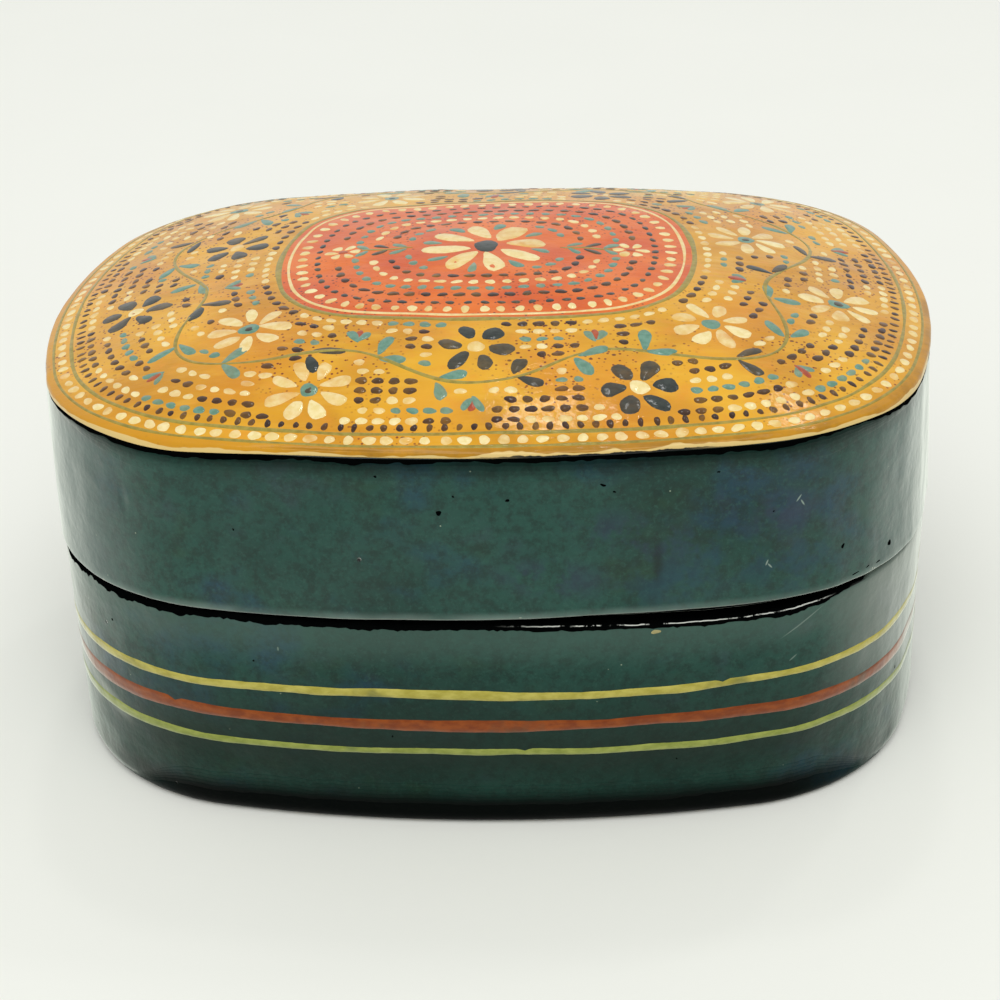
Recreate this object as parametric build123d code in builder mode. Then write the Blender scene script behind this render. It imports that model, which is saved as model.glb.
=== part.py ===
from build123d import *
from math import atan2, degrees
import os

# A lidded trinket box of papier-mache, in millimetres. Z is up, X runs along the long side,
# and the origin is the middle of the underside. The box is five moulded or wound pieces, glued
# into two: the base is a floor let into a wall and lined by a collar that stands above the rim,
# and the lid is a domed cap glued on a wall that drops over the collar.

# Plan of the base: bowed long sides and ends, with rounded corners
base_length = 126.0
base_width = 96.0
side_radius = 190.0
end_radius = 82.0
corner_radius = 30.0

# Base wall, whose rim has dried hollow between the two ends where the lid rests
wall_thickness = 2.8
seat_height = 33.2
rim_dip = 1.2
rim_bevel = 0.6
foot_bevel = 1.7

# Floor panel, glued inside the foot of the wall
floor_thickness = 2.6
glue_line = 0.1

# Collar, a strip of card bent round inside the wall until its ends meet
collar_thickness = 1.2
collar_rise = 6.0
collar_bevel = 0.3
collar_joint = 0.3

# Lid wall, whose outside draws in towards the top and whose inside is straight
lid_wall_height = 22.8
lid_overhang = 0.5
lid_taper = 1.2
lid_clearance = 0.5
lid_edge_bevel = 0.4

# Domed cap, with a flange that drops inside the lid wall, and a ceiling flat in the middle
cap_overhang = 0.15
cap_edge_height = 0.6
cap_edge_bevel = 0.3
dome_height = 8.6
dome_fullness = 2.4
dome_rings = 8
crown_thickness = 4.9
ceiling_draft = 78.0
flange_depth = 2.0
flange_thickness = 1.4

# Heights and insets that follow from the sizes above
dip_radius = ((base_length / 2) ** 2 + rim_dip**2) / (2 * rim_dip)
collar_bore_inset = wall_thickness + collar_thickness
collar_top = seat_height + collar_rise
lid_top = seat_height + lid_wall_height
lid_slope = degrees(atan2(lid_taper, lid_wall_height))
lid_bore_inset = wall_thickness - lid_clearance
cap_inset = lid_taper - lid_overhang - cap_overhang
flange_inset = lid_bore_inset + glue_line
hollow_inset = flange_inset + flange_thickness
dome_foot = lid_top + cap_edge_height + cap_edge_bevel
dome_inset = cap_inset + cap_edge_bevel
ceiling_rise = dome_foot + dome_height - crown_thickness - lid_top


def plan(height, inset=0.0, share=1.0):
    """The plan at a height, drawn in by inset on every side and then shrunk to a share."""
    side = (side_radius - inset) * share
    end = (end_radius - inset) * share
    side_centre = (side_radius - base_width / 2) * share
    end_centre = (end_radius - base_length / 2) * share
    with BuildSketch(Plane.XY.offset(height)) as outline:
        with Locations((0, side_centre)):
            Circle(side)
        with Locations((0, -side_centre)):
            Circle(side, mode=Mode.INTERSECT)
        with Locations(Location((end_centre, 0, 0), (0, 0, 90))):
            Circle(end, mode=Mode.INTERSECT)
        with Locations(Location((-end_centre, 0, 0), (0, 0, 90))):
            Circle(end, mode=Mode.INTERSECT)
        fillet(outline.vertices(), (corner_radius - inset) * share)
    return outline.sketch


def dome_ring(share):
    """The dome's plan where it has shrunk to a share, at the height it has risen to there."""
    return plan(dome_foot + dome_height * (1 - share**dome_fullness), dome_inset, share)


# Base wall
with BuildPart() as base_wall:
    extrude(plan(0), amount=seat_height + rim_dip)
    chamfer(base_wall.edges().group_by(Axis.Z)[0], foot_bevel)
    with BuildSketch(Plane.XZ) as dip:
        with Locations((0, seat_height - rim_dip + dip_radius)):
            Circle(dip_radius)
    extrude(amount=base_width, both=True, mode=Mode.SUBTRACT)
    chamfer(base_wall.faces().sort_by(Axis.Z)[-1].edges(), rim_bevel)
    extrude(plan(0, wall_thickness), amount=seat_height, mode=Mode.SUBTRACT)
base_wall.part.label = "base_wall"

# Base floor
with BuildPart() as base_floor:
    extrude(plan(0, wall_thickness + glue_line), amount=floor_thickness)
base_floor.part.label = "base_floor"

# Collar
with BuildPart() as collar:
    extrude(plan(floor_thickness, wall_thickness), amount=collar_top - floor_thickness)
    extrude(plan(0, collar_bore_inset), amount=collar_top, mode=Mode.SUBTRACT)
    chamfer(collar.edges().group_by(Axis.Z)[-1], collar_bevel)
    with Locations((0, base_width / 2 - wall_thickness)):
        Box(collar_joint, 4 * collar_thickness, 2 * collar_top, mode=Mode.SUBTRACT)
collar.part.label = "collar"

# Lid wall
with BuildPart() as lid_wall:
    extrude(plan(seat_height, -lid_overhang), amount=lid_wall_height, taper=lid_slope)
    chamfer(lid_wall.edges().group_by(Axis.Z)[0], lid_edge_bevel)
    extrude(plan(seat_height, lid_bore_inset), amount=lid_wall_height, mode=Mode.SUBTRACT)
lid_wall.part.label = "lid_wall"

# Domed cap
with BuildPart() as lid_cap:
    extrude(plan(lid_top, cap_inset), amount=cap_edge_height)
    extrude(plan(lid_top + cap_edge_height, cap_inset), amount=cap_edge_bevel, taper=45)
    loft([dome_ring(1 - ring / dome_rings) for ring in range(dome_rings)])
    extrude(plan(lid_top, flange_inset), amount=-flange_depth)
    extrude(plan(lid_top, hollow_inset), amount=-flange_depth, mode=Mode.SUBTRACT)
    extrude(
        plan(lid_top, hollow_inset),
        amount=ceiling_rise,
        taper=ceiling_draft,
        mode=Mode.SUBTRACT,
    )
lid_cap.part.label = "lid_cap"

os.makedirs("parts", exist_ok=True)
for piece in (base_wall, base_floor, collar, lid_wall, lid_cap):
    print(piece.part.label, round(piece.part.volume), piece.part.bounding_box().size)
    export_step(piece.part, f"parts/{piece.part.label}.step")
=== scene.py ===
from math import cos, pi, radians, sin

import bpy
import numpy as np
from mathutils import Matrix, Vector


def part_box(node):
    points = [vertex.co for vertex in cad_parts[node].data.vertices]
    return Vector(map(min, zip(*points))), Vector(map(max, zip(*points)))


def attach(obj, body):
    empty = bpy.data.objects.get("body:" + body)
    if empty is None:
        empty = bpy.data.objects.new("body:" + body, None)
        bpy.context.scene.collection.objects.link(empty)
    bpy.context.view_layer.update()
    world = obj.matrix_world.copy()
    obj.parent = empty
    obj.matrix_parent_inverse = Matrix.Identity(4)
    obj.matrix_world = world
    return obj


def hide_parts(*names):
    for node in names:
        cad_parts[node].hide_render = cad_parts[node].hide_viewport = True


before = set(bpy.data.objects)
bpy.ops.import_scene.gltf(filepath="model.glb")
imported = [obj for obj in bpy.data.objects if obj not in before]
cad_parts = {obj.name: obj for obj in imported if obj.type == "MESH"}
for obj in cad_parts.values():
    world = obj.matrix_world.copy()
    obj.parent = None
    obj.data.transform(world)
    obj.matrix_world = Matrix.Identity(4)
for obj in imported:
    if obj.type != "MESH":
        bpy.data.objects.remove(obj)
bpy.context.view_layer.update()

# Sizes, in millimetres, as all lengths are until a mesh or a node takes them in metres
MM = 0.001


def corners(node):
    """The lowest and highest corners of a CAD node."""
    return np.array(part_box(node)) / MM


HALF_LENGTH, HALF_WIDTH = corners("base_wall")[1, :2]
SEAT, LID_TOP = corners("lid_wall")[:, 2]
COLLAR_FOOT, COLLAR_TOP = corners("collar")[:, 2]
FLANGE_FOOT, CROWN = corners("lid_cap")[:, 2]
FLOOR_TOP = corners("base_floor")[1, 2]
SIDE_RADIUS = 190
END_RADIUS = 82
CORNER_RADIUS = 30
GLUE_LINE = 0.1
WALL = 2.8
RIM_DIP = 1.2
COLLAR_OUTER = HALF_LENGTH - corners("collar")[1, 0]
COLLAR_INNER = COLLAR_OUTER + 1.2
COLLAR_JOINT = 0.3
LID_OVERHANG = 0.5
LID_TAPER = 1.2
LID_CLEARANCE = 0.5
LID_BORE = WALL - LID_CLEARANCE
FLANGE_OUTER = LID_BORE + GLUE_LINE
FLANGE_INNER = FLANGE_OUTER + 1.4
CAP_INSET = HALF_LENGTH - corners("lid_cap")[1, 0]
DOME_INSET = CAP_INSET + 0.3
DOME_FOOT = LID_TOP + 0.9
DOME_HEIGHT = CROWN - DOME_FOOT
DOME_FULLNESS = 2.4
CEILING_RISE = 4.6

CELLS = 180
AROUND = 4 * CELLS


# Plan of the box
def plan_arcs():
    """The corner arc's centre, and the normal angles at which the corner arc begins and ends."""
    side = np.array([0.0, HALF_WIDTH - SIDE_RADIUS])
    end = np.array([HALF_LENGTH - END_RADIUS, 0.0])
    from_side = SIDE_RADIUS - CORNER_RADIUS
    from_end = END_RADIUS - CORNER_RADIUS
    gap = np.hypot(*(end - side))
    along = (from_side**2 - from_end**2 + gap**2) / (2 * gap)
    off = np.sqrt(from_side**2 - along**2)
    unit = (end - side) / gap
    centre = side + unit * along + np.array([unit[1], -unit[0]]) * off
    start = np.arctan2(*(centre - end)[::-1])
    stop = np.arctan2(*(centre - side)[::-1])
    return centre, start, stop


corner, corner_start, corner_stop = plan_arcs()


def outline(angle, inset=0.0):
    """The point of the plan whose outward normal has this angle, drawn in by inset."""
    fold = np.arctan2(abs(np.sin(angle)), abs(np.cos(angle)))
    arcs = [fold < corner_start, fold > corner_stop]
    radius = np.select(arcs, [END_RADIUS, SIDE_RADIUS], CORNER_RADIUS) - inset
    centre_x = np.select(arcs, [HALF_LENGTH - END_RADIUS, 0.0], corner[0])
    centre_y = np.select(arcs, [0.0, HALF_WIDTH - SIDE_RADIUS], corner[1])
    x = np.sign(np.cos(angle)) * centre_x + radius * np.cos(angle)
    y = np.sign(np.sin(angle)) * centre_y + radius * np.sin(angle)
    return x, y


fine_angle = np.linspace(0, 2 * pi, 40001)
fine_x, fine_y = outline(fine_angle)
fine_run = np.concatenate([[0], np.cumsum(np.hypot(np.diff(fine_x), np.diff(fine_y)))])
PERIMETER = fine_run[-1]


def angle_at(turn):
    """The normal angle at a share of the way round, from the right end's middle."""
    return np.interp(np.mod(turn, 1.0) * PERIMETER, fine_run, fine_angle)


def ground(x, y):
    """Points on the ground."""
    return np.stack([x, y, 0 * x], axis=-1)


column_angle = angle_at(np.arange(AROUND) / AROUND)
outline_x, outline_y = outline(column_angle)
rim_points = ground(outline_x, outline_y)


# Unevenness of hand work
def ramp(value, start, stop):
    """A share that grows from 0 to 1 as a value goes from start to stop."""
    return np.clip((value - start) / (stop - start), 0, 1)


def smooth(share):
    """A share with a soft start and end."""
    return share**2 * (3 - 2 * share)


def bulge(points, middle, reach):
    """A smooth rise of the front side only, about a place along it."""
    return np.exp(-(((points[..., 0] - middle) / reach) ** 2)) * ramp(-points[..., 1], 0, 20)


def waviness(points, wavelength, seed, waves=16):
    """A smooth seeded unevenness of about unit height, with waves near one length."""
    draw = np.random.default_rng(seed)
    direction = draw.normal(size=(waves, 3))
    direction /= np.linalg.norm(direction, axis=1)[:, None]
    direction *= draw.uniform(0.7, 1.4, (waves, 1))
    phase = draw.uniform(0, 2 * pi, waves)
    return np.sin(points @ direction.T * (2 * pi / wavelength) + phase).sum(-1) / np.sqrt(waves / 2)


def unevenness(points, seed, *waves):
    """A sum of waves, each a depth and a wavelength, with seeds that count up."""
    return sum(depth * waviness(points, wave, seed + step) for step, (depth, wave) in enumerate(waves))


# Meshes from arrays
def band_faces(number, closed=True):
    """Quads of rows of point numbers, joined round from last row to first, and each row closed or not."""
    after = np.roll(number, -1, axis=0)
    quads = np.stack([number, np.roll(number, -1, axis=1), np.roll(after, -1, axis=1), after], axis=-1)
    return (quads if closed else quads[:, :-1]).reshape(-1, 4).tolist()


def make_mesh(name, points, faces=None, **fields):
    """An object of the points and faces, smooth, with each field as an attribute of its points.

    Rows of points without faces make a closed band.
    """
    if faces is None:
        faces = band_faces(np.arange(points.size // 3).reshape(points.shape[:2]))
    mesh = bpy.data.meshes.new(name)
    mesh.from_pydata((points.reshape(-1, 3) * MM).tolist(), [], faces)
    for field, values in fields.items():
        layer = mesh.attributes.new(field, "FLOAT", "POINT")
        values = np.broadcast_to(values, points.shape[:-1])
        layer.data.foreach_set("value", values.astype(np.float32).ravel())
    mesh.shade_smooth()
    mesh.validate()
    piece = bpy.data.objects.new(name, mesh)
    bpy.context.scene.collection.objects.link(piece)
    return piece


def strip(first, second):
    """Quads between two closed rings of point numbers, facing left of the way they run."""
    return np.stack([first, np.roll(first, -1), np.roll(second, -1), second], axis=-1).tolist()


def touch_faces(sides, start, count):
    """Faces of touches of paint, each of which has two rings of points and a middle."""
    once = [list(range(sides))[::-1]]
    for i in range(sides):
        j = (i + 1) % sides
        once += [[i, j, sides + j, sides + i], [sides + i, sides + j, 2 * sides]]
    each = 2 * sides + 1
    return [[start + touch * each + i for i in face] for touch in range(count) for face in once]


def ring_rows(inset, height, swell=0.0, angle=column_angle):
    """Points of rows round the plan, each with its inset, height and swell, as rows x columns."""
    x, y = outline(angle[None, :], inset)
    return np.stack([x + swell * np.cos(angle), y + swell * np.sin(angle), height + 0 * x], axis=-1)


def uneven_rows(inset, height, stand, angle, outward, seed):
    """Rows round a wall, standing out here and there from its true form where it faces outward."""
    points = ring_rows(inset, height, 0.0, angle)
    upright = points * np.array([1, 1, 0.16])
    ripple = ramp(points[..., 0] / HALF_LENGTH, 0.55, 0.9)
    swell = unevenness(points, seed, (0.13, 42), (0.04, 13), (0.008, 4))
    swell += unevenness(upright, seed + 3, (0.006 + 0.045 * ripple, 6.5), (0.002 + 0.008 * ripple, 2.6))
    return ring_rows(inset, height, swell * outward + stand, angle)


def arc(centre_inset, centre_height, radius, start, stop, steps, rise=None):
    """Inset and height of points on a rounding; 0 degrees faces out and 90 up."""
    turn = np.radians(np.linspace(start, stop, steps))
    rise = rise or radius
    return [(centre_inset - radius * cos(a), centre_height + rise * sin(a)) for a in turn]


def straight(start, stop, steps):
    """Inset and height of points on a straight run, without its two ends."""
    share = np.linspace(0, 1, steps + 2)[1:-1]
    return [(start[0] + (stop[0] - start[0]) * t, start[1] + (stop[1] - start[1]) * t) for t in share]


# Base wall
FOOT_ROUND = 1.3
FOOT_RISE = 2.2
RIM_ROUND = 0.7
BORE_ROUND = 0.3
DIP_DEPTH = 9
BASE_SEED = 11
INSIDE_FROM = 1.6


def rim_sag(angle):
    """How far the base's rim has dried hollow: in the middle, and more on the right at the front."""
    points = ground(*outline(angle))
    sag = RIM_DIP * (1 - (points[..., 0] / HALF_LENGTH) ** 2) + 0.07 * waviness(points, 17, 301)
    return np.maximum(sag + 0.95 * bulge(points, 33, 16), 0.02)


def base_skin(inset, height, stand=0.0, angle=column_angle):
    """Points of the base wall's skin, sagging towards the rim and uneven on the outside."""
    outward = ramp(inset, 0.9, 0) * ramp(height, 0, FOOT_RISE)
    height = height - rim_sag(angle) * ramp(height, SEAT - DIP_DEPTH, SEAT)
    return uneven_rows(inset, height, stand, angle, outward, BASE_SEED)


profile = [(WALL, 0)]
profile += arc(FOOT_ROUND, FOOT_RISE, FOOT_ROUND, -90, 0, 13, FOOT_RISE)
profile += straight((0, FOOT_RISE), (0, SEAT - RIM_ROUND), 52)
profile += arc(RIM_ROUND, SEAT - RIM_ROUND, RIM_ROUND, 0, 90, 9)
profile += straight((RIM_ROUND, SEAT), (WALL - BORE_ROUND, SEAT), 2)
profile += arc(WALL - BORE_ROUND, SEAT - BORE_ROUND, BORE_ROUND, 90, 180, 3)
profile += straight((WALL, SEAT), (WALL, 0), 3)
inset, height = np.array(profile).T[..., None]
inside = inset > INSIDE_FROM
base_wall = make_mesh("base_wall_painted", base_skin(inset, height), drop=SEAT - height, inside=inside)
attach(base_wall, "base")
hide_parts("base_wall")

# Lid wall
LID_EDGE_ROUND = 0.55
LID_TOP_INSET = LID_TAPER - LID_OVERHANG
LID_SEED = 41


def edge_wobble(angle):
    """How far the lid's lower edge wanders up and down."""
    points = ground(*outline(angle))
    return 0.06 * waviness(points, 23, 302) - 0.55 * bulge(points, -27, 17) + 0.32 * bulge(points, 45, 11)


def lid_skin(inset, height, stand=0.0, angle=column_angle):
    """Points of the lid wall's skin, uneven on the outside and along its lower edge."""
    outward = ramp(inset, 1.6, 0.8) * np.maximum(ramp(height, LID_TOP, LID_TOP - 3), 0.35)
    height = height + edge_wobble(angle) * ramp(height, SEAT + 6, SEAT)
    return uneven_rows(inset, height, stand, angle, outward, LID_SEED)


profile = [(LID_BORE, SEAT + BORE_ROUND)]
profile += straight((LID_BORE - BORE_ROUND, SEAT), (LID_EDGE_ROUND - LID_OVERHANG, SEAT), 2)
profile += arc(LID_EDGE_ROUND - LID_OVERHANG, SEAT + LID_EDGE_ROUND, LID_EDGE_ROUND, -90, 0, 8)
profile += straight((-LID_OVERHANG, SEAT + LID_EDGE_ROUND), (LID_TOP_INSET, LID_TOP), 40)
profile += [(LID_TOP_INSET, LID_TOP), (LID_BORE, LID_TOP)]
profile += straight((LID_BORE, LID_TOP), (LID_BORE, SEAT + BORE_ROUND), 22)
inset, height = np.array(profile).T[..., None]
inside = inset > INSIDE_FROM
lid_wall = make_mesh("lid_wall_painted", lid_skin(inset, height), drop=height - SEAT, inside=inside)
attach(lid_wall, "lid")
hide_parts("lid_wall")

# Domed cap
LIP_ROUND = 0.5
LIP_FOOT_ROUND = 0.2
FLANGE_ROUND = 0.3
CAP_INSIDE_FROM = 1.2
CEILING_FULLNESS = 3.5
edge_x, edge_y = outline(fine_angle, DOME_INSET)
edge_way = np.unwrap(np.arctan2(edge_y, edge_x))
edge_reach = np.hypot(edge_x, edge_y)


def dome_at(points):
    """The height of the dome's surface over points on the ground."""
    x, y = points[..., 0], points[..., 1]
    share = np.hypot(x, y) / np.interp(np.mod(np.arctan2(y, x), 2 * pi), edge_way, edge_reach)
    relief = unevenness(points, 71, (0.1, 34), (0.03, 9), (0.006, 3.2))
    relief *= 0.15 + 0.85 * ramp(share, 1, 0.94)
    return DOME_FOOT + DOME_HEIGHT * (1 - share**DOME_FULLNESS) + relief


def disc_grid():
    """Share of the way out and share of the way round at the nodes of a square grid."""
    line = np.linspace(-1, 1, CELLS + 1)
    u, v = np.meshgrid(line, line, indexing="ij")
    share = np.maximum(abs(u), abs(v))
    across = u / np.where(share == 0, 1, share) / 8
    along = v / np.where(share == 0, 1, share) / 8
    sides = [u >= abs(v), -u >= abs(v), v > abs(u)]
    turn = np.select(sides, [along, 0.5 - along, 0.25 - across], 0.75 + across)
    return share, np.mod(turn, 1.0)


grid_share, grid_turn = disc_grid()
grid_count = grid_share.size


def disc(inset, height_at):
    """Points of a square grid that fills the plan, at the heights that a function gives."""
    x, y = outline(angle_at(grid_turn), inset)
    points = ground(x * grid_share, y * grid_share)
    points[..., 2] = height_at(points)
    return points.reshape(-1, 3)


def grid_faces(start, flip):
    """Quads of a square grid whose points start at a number."""
    number = start + np.arange(grid_count).reshape(grid_share.shape)
    quads = np.stack([number[:-1, :-1], number[1:, :-1], number[1:, 1:], number[:-1, 1:]], axis=-1)
    return (quads[..., ::-1] if flip else quads).reshape(-1, 4).tolist()


def grid_ring(start):
    """Point numbers of a grid's outer nodes, in the order of the columns."""
    outer = np.flatnonzero(grid_share.ravel() == 1)
    column = np.rint(grid_turn.ravel()[outer] * AROUND).astype(int) % AROUND
    ring = np.empty(AROUND, int)
    ring[column] = start + outer
    return ring


profile = arc(CAP_INSET + LIP_ROUND, LID_TOP + 0.45, LIP_ROUND, 55, 0, 7)
profile += [(CAP_INSET, LID_TOP + 0.3)]
profile += arc(CAP_INSET + LIP_FOOT_ROUND, LID_TOP + LIP_FOOT_ROUND, LIP_FOOT_ROUND, 0, -90, 4)
profile += [(FLANGE_OUTER, LID_TOP), (FLANGE_OUTER, LID_TOP - 1)]
profile += arc(FLANGE_OUTER + FLANGE_ROUND, FLANGE_FOOT + FLANGE_ROUND, FLANGE_ROUND, 0, -90, 3)
profile += arc(FLANGE_INNER - FLANGE_ROUND, FLANGE_FOOT + FLANGE_ROUND, FLANGE_ROUND, -90, -180, 3)
profile += [(FLANGE_INNER, LID_TOP - 1)]
inset, height = np.array(profile).T[..., None]
outward = ramp(inset, CAP_INSET + 0.8, CAP_INSET)
swell = unevenness(ring_rows(inset, height), 81, (0.07, 31), (0.025, 7)) * outward
hang = 0.55 * bulge(rim_points, -39, 10) + 0.6 * bulge(rim_points, 57, 5) + 0.3 * bulge(rim_points, -60, 5)
lower = ramp(height, LID_TOP + 0.9, LID_TOP + 0.3) * outward
lip = ring_rows(inset, height - hang * lower, swell).reshape(-1, 3)
ceiling_form = LID_TOP + CEILING_RISE * (1 - grid_share**CEILING_FULLNESS)
ceiling = disc(FLANGE_INNER, lambda points: ceiling_form + 0.04 * waviness(points, 25, 91))
row_count = len(profile)
ceiling_start = grid_count + row_count * AROUND
rings = [grid_ring(0)]
rings += [grid_count + row * AROUND + np.arange(AROUND) for row in range(row_count)]
rings += [grid_ring(ceiling_start)]
faces = grid_faces(0, False)
for first, second in zip(rings[:-1], rings[1:]):
    faces += strip(second, first)
faces += grid_faces(ceiling_start, True)
lip_inside = np.repeat(inset.ravel() > CAP_INSIDE_FROM, AROUND)
lid_cap = make_mesh(
    "lid_cap_painted",
    np.concatenate([disc(DOME_INSET, dome_at), lip, ceiling]),
    faces,
    inside=np.concatenate([np.zeros(grid_count), lip_inside, np.ones(grid_count)]),
    share=np.concatenate([grid_share.ravel(), np.ones(len(lip)), grid_share.ravel()]),
)
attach(lid_cap, "lid")
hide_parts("lid_cap")

# Collar, bent round inside the wall until its ends meet at the back
COLLAR_ROUND = 0.35
COLLAR_SHOULDER = COLLAR_TOP - COLLAR_ROUND
profile = [(COLLAR_OUTER, COLLAR_FOOT)]
profile += straight((COLLAR_OUTER, COLLAR_FOOT), (COLLAR_OUTER, SEAT - 2), 2)
profile += straight((COLLAR_OUTER, SEAT - 2), (COLLAR_OUTER, COLLAR_SHOULDER), 12)
profile += arc(COLLAR_OUTER + COLLAR_ROUND, COLLAR_SHOULDER, COLLAR_ROUND, 0, 90, 5)
profile += arc(COLLAR_INNER - COLLAR_ROUND, COLLAR_SHOULDER, COLLAR_ROUND, 90, 180, 5)
profile += straight((COLLAR_INNER, COLLAR_SHOULDER), (COLLAR_INNER, COLLAR_FOOT), 34)
profile += [(COLLAR_INNER, COLLAR_FOOT)]
inset, height = np.array(profile).T[..., None]
collar_turn = np.linspace(0.25, 1.25, AROUND + 1)
collar_turn[[0, -1]] += np.array([1, -1]) * COLLAR_JOINT / 2 / PERIMETER
collar_angle = angle_at(collar_turn)
unlevel = 0.05 * waviness(ground(*outline(collar_angle)), 20, 303)
height = height + unlevel * ramp(height, SEAT, COLLAR_TOP)
rows = ring_rows(inset, height, 0.0, collar_angle)
swell = np.minimum(0.05 * waviness(rows, 30, 95), 0) * (height > SEAT)
rows = ring_rows(inset, height, swell, collar_angle)
number = np.arange(rows.size // 3).reshape(rows.shape[:2])
faces = band_faces(number, closed=False) + [number[:, 0].tolist(), number[::-1, -1].tolist()]
collar = make_mesh("collar_painted", rows, faces)
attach(collar, "base")
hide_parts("collar")

# Floor panel, which rests on the edge of its underside
floor_inset = WALL + GLUE_LINE
upper = disc(floor_inset, lambda points: FLOOR_TOP - 0.05 + 0.035 * waviness(points, 22, 96))
upper[:, 2] = np.minimum(upper[:, 2], FLOOR_TOP)
hollow = 0.25 * (1 - grid_share**6)
under = disc(floor_inset, lambda points: hollow + 0.03 * waviness(points, 18, 97) * (1 - grid_share))
faces = grid_faces(0, False) + strip(grid_ring(grid_count), grid_ring(0)) + grid_faces(grid_count, True)
base_floor = make_mesh("base_floor_painted", np.concatenate([upper, under]), faces)
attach(base_floor, "base")
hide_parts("base_floor")


# Paint brushed round the walls
FILM_EDGE = np.array([0, 0.035, 0.08, 0.3])
FILM_STAND = np.array([-1.0, -1.0, 0.7, 1.0])
FILM_ROOT = 0.12


def base_inset(height):
    """The inset of the base wall's outside at a height, round its rim and its foot too."""
    over = np.clip(height - SEAT + RIM_ROUND, 0, RIM_ROUND)
    under = ramp(height, FOOT_RISE, 0)
    return RIM_ROUND - np.sqrt(RIM_ROUND**2 - over**2) + FOOT_ROUND * (1 - np.sqrt(1 - under**2))


def lid_inset(height):
    """The inset of the lid wall's outside at a height."""
    return LID_TOP_INSET - LID_TAPER * (LID_TOP - height) / (LID_TOP - SEAT - LID_EDGE_ROUND)


BASE = (base_skin, base_inset, "base")
LID = (lid_skin, lid_inset, "lid")


def film(name, wall, low, high, slot, rows=8, thick=0.04, lift=0.0):
    """A film of paint round a wall, between two heights that may waver, standing on its skin.

    Its two edges are rooted well below the skin, so that nothing but its face shows.
    """
    skin, inset_at, body = wall
    inner = np.linspace(FILM_EDGE[2], 1 - FILM_EDGE[2], rows - 4)[1:-1]
    across = np.concatenate([FILM_EDGE[:3], inner, 1 - FILM_EDGE[2::-1]])[:, None]
    stand = np.interp(np.minimum(across, 1 - across), FILM_EDGE, FILM_STAND) * thick
    stand = np.where(stand > 0, stand + lift, stand)
    stand[[0, -1]] = -FILM_ROOT
    height = low + (high - low) * across
    piece = make_mesh(name, skin(inset_at(height), height, stand), across=across)
    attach(piece, body)
    return piece


def stripe(name, height, width, seed, nick, rise, flare):
    """A painted line round the base, as even as a hand draws it, nicked once at the front.

    At the front it rises towards the right and widens towards both ends.
    """
    in_front = ramp(-outline_y, 0, 30)
    middle = height + unevenness(rim_points, seed, (0.16, 60), (0.05, 14))
    middle += rise * ramp(outline_x, 26, 52) * in_front
    spread = 1 + unevenness(rim_points, seed + 2, (0.1, 26), (0.03, 6)) + 0.22 * bulge(rim_points, -51, 6)
    spread += flare * ramp(abs(outline_x), 38, 52) * in_front
    half = spread * width / 2 + 0.012 * waviness(rim_points, 1.6, seed + 4)
    nicked = 0.3 * width * np.exp(-(((outline_x - nick) / 0.6) ** 2)) * (outline_y < 0)
    return film(name, BASE, middle - half, middle + half - nicked, "green_lacquer")


upper_stripe = stripe("stripe_upper_yellow", 21.2, 1.4, 501, 32, 0.8, 0.0)
middle_stripe = stripe("stripe_middle_red", 16.46, 1.86, 511, -42, 0.3, 0.15)
lower_stripe = stripe("stripe_lower_yellow", 12.1, 1.14, 521, 5.7, 0.35, 0.4)

# Black run over the rim; under the cap, a black line that is partly painted shadow, and painted shade;
# painted shade up the foot
RIM_FILM = 0.035
RIM_SINK = 0.05
RIM_STEPS = 9
SHOULDER = SEAT - RIM_ROUND
ragged = unevenness(rim_points, 531, (0.08, 9), (0.1, 2.6), (0.1, 1.2))
at_left = ramp(-outline_x, 34, 56)
at_right = ramp(outline_x, 46, 54)
reach = np.clip(0.86 + 0.5 * at_left - 0.4 * at_right + ragged * (1 + at_left), 0.4, 2.2)
share = np.array([1.0, 0.93, 0.7, 0.3])[:, None]
run_down = np.minimum(SHOULDER + (RIM_ROUND - reach) * share, SHOULDER)
film_end = (WALL - 0.35, SEAT + RIM_FILM)
film_turn = (WALL - 0.32, SEAT - RIM_SINK)
profile = arc(RIM_ROUND, SHOULDER, RIM_ROUND + RIM_FILM, 0, 90, RIM_STEPS)
profile += straight((RIM_ROUND, SEAT + RIM_FILM), film_end, 2) + [film_end, film_turn]
profile += straight(film_turn, (RIM_ROUND, SEAT - RIM_SINK), 2)
profile += arc(RIM_ROUND, SHOULDER, RIM_ROUND - RIM_SINK, 90, 0, RIM_STEPS)
over_rim = np.array(profile)[..., None] + 0 * outline_x
inset = np.concatenate([0 * run_down, over_rim[:, 0]])
height = np.concatenate([run_down, over_rim[:, 1]])
stand = np.concatenate([[-RIM_SINK, 0.025, RIM_FILM, RIM_FILM], np.zeros(len(profile))])[:, None]
rising = np.linspace(0, 1, RIM_STEPS)
climb = np.concatenate([0 * share[:, 0], rising, np.ones(len(profile) - 2 * RIM_STEPS), rising[::-1]])
run_out = 45.5 + 6.5 * climb[:, None] + 1.1 * waviness(rim_points, 2.4, 534)
sunk = 0.12 * ramp(outline_x, run_out, run_out + 0.7)
height = height - sunk
rim_paint = make_mesh("rim_black", base_skin(inset, height, stand - sunk), drop=SEAT - height)
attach(rim_paint, "base")

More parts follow.
